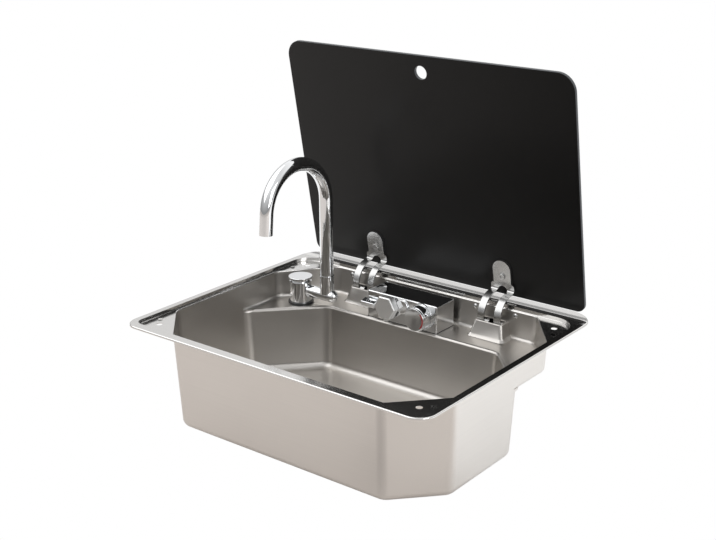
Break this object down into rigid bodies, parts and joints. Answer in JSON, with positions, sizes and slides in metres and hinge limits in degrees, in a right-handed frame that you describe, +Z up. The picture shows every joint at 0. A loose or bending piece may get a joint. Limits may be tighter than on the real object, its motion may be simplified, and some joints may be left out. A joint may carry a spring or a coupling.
{
  "type": "camper sink with glass lid",
  "caption": "Built-in camper sink: pressed steel bowl with recessed rim, hinged black glass lid, fold-down swan-neck tap and box mixer on the rear shelf, strainer waste.",
  "frame": {"origin": "Centre of the four corner screw holes, on the ledge under the lid", "axes": "X right along the lid hinge line, Y from the front to the hinges, Z up; lid and spout modelled open"},
  "size_m": [0.56, 0.46, 0.5903],
  "materials": {
    "pan_steel": "brushed",
    "hinge_steel": "polished",
    "plated_steel": "satin",
    "black_glass": "polished",
    "tap_chrome": "polished",
    "brass": "satin",
    "black_rubber": "matte",
    "clear_silicone": "satin",
    "black_plastic": "matte",
    "white_plastic": "matte",
    "red_plastic": "gloss"
  },
  "bodies": {
    "pan": {"sink_pan": "pan_steel", "rim_gasket": "black_rubber", "lid_bumpers": "clear_silicone", "hinge_troughs": "black_plastic", "hinge_bracket_left": "plated_steel", "hinge_bracket_right": "plated_steel", "hinge_pins": "hinge_steel", "hinge_rivets": "hinge_steel", "hinge_friction_washers": "white_plastic", "tap_base_ring": "black_plastic", "tap_body": "tap_chrome", "tap_cartridge": "white_plastic", "tap_shank": "brass", "tap_washer": "white_plastic", "tap_nut": "brass", "mixer_housing": "tap_chrome", "mixer_gasket": "black_rubber", "mixer_manifold": "brass", "mixer_cartridge": "white_plastic", "mixer_escutcheon": "tap_chrome", "outlet_head": "tap_chrome", "outlet_aerator": "white_plastic", "mixer_plug": "tap_chrome", "mixer_shanks": "brass", "mixer_washers": "white_plastic", "mixer_nuts": "brass", "waste_flange": "hinge_steel", "waste_top_gasket": "black_rubber", "waste_lower_gasket": "black_rubber", "waste_body": "white_plastic", "waste_screw": "hinge_steel"},
    "lid": {"lid_glass": "black_glass", "hinge_arm_left": "hinge_steel", "hinge_arm_right": "hinge_steel", "lid_pads": "black_rubber", "lid_clamp_screws": "hinge_steel", "lid_clamp_sleeves": "white_plastic", "lid_clamp_caps": "tap_chrome"},
    "tap_handle": {"tap_cap": "tap_chrome"},
    "link": {"tap_link": "tap_chrome", "tap_link_seal": "black_rubber", "tap_link_clip": "hinge_steel"},
    "spout": {"spout_tube": "tap_chrome", "spout_collar": "tap_chrome", "spout_seals": "black_rubber", "spout_aerator": "white_plastic"},
    "knob": {"mixer_knob": "tap_chrome", "knob_index": "red_plastic", "knob_screw": "hinge_steel"},
    "bar": {"flow_bar": "tap_chrome", "flow_valve": "brass"},
    "strainer": {"strainer_basket": "hinge_steel", "strainer_knob": "hinge_steel", "strainer_seal": "black_rubber"}
  },
  "joints": [
    {"name": "lid_hinge", "type": "hinge", "parent": "pan", "child": "lid", "pos_m": [0, 0.217, -0.015], "axis": [1, 0, 0], "range_deg": [0, 79.4]},
    {"name": "tap_fold", "type": "hinge", "parent": "pan", "child": "link", "pos_m": [-0.217, 0.1255, -0.022], "axis": [1, 0, 0], "range_deg": [0, 90]},
    {"name": "spout_swivel", "type": "hinge", "parent": "link", "child": "spout", "pos_m": [-0.159, 0.1255, 0], "axis": [0, 0, 1], "range_deg": [0, 90]},
    {"name": "tap_handle_turn", "type": "hinge", "parent": "pan", "child": "tap_handle", "pos_m": [-0.217, 0.1255, -0.002], "axis": [0, 0, 1], "range_deg": [0, 90]},
    {"name": "mixer_knob_turn", "type": "hinge", "parent": "pan", "child": "knob", "pos_m": [0.023, 0.128, -0.0215], "axis": [0, -1, 0], "range_deg": [-60, 60]},
    {"name": "flow_bar_turn", "type": "hinge", "parent": "pan", "child": "bar", "pos_m": [-0.06, 0.1315, -0.018], "axis": [1, 0, 0], "range_deg": [0, 90]},
    {"name": "strainer_lift", "type": "slide", "parent": "pan", "child": "strainer", "axis": [0, 0, 1], "range_m": [0, 0.08]}
  ],
  "couplings": [
    {"joint": "tap_fold", "follows": "lid_hinge", "ratio": 1.1335},
    {"joint": "spout_swivel", "follows": "lid_hinge", "ratio": 1.1335}
  ]
}
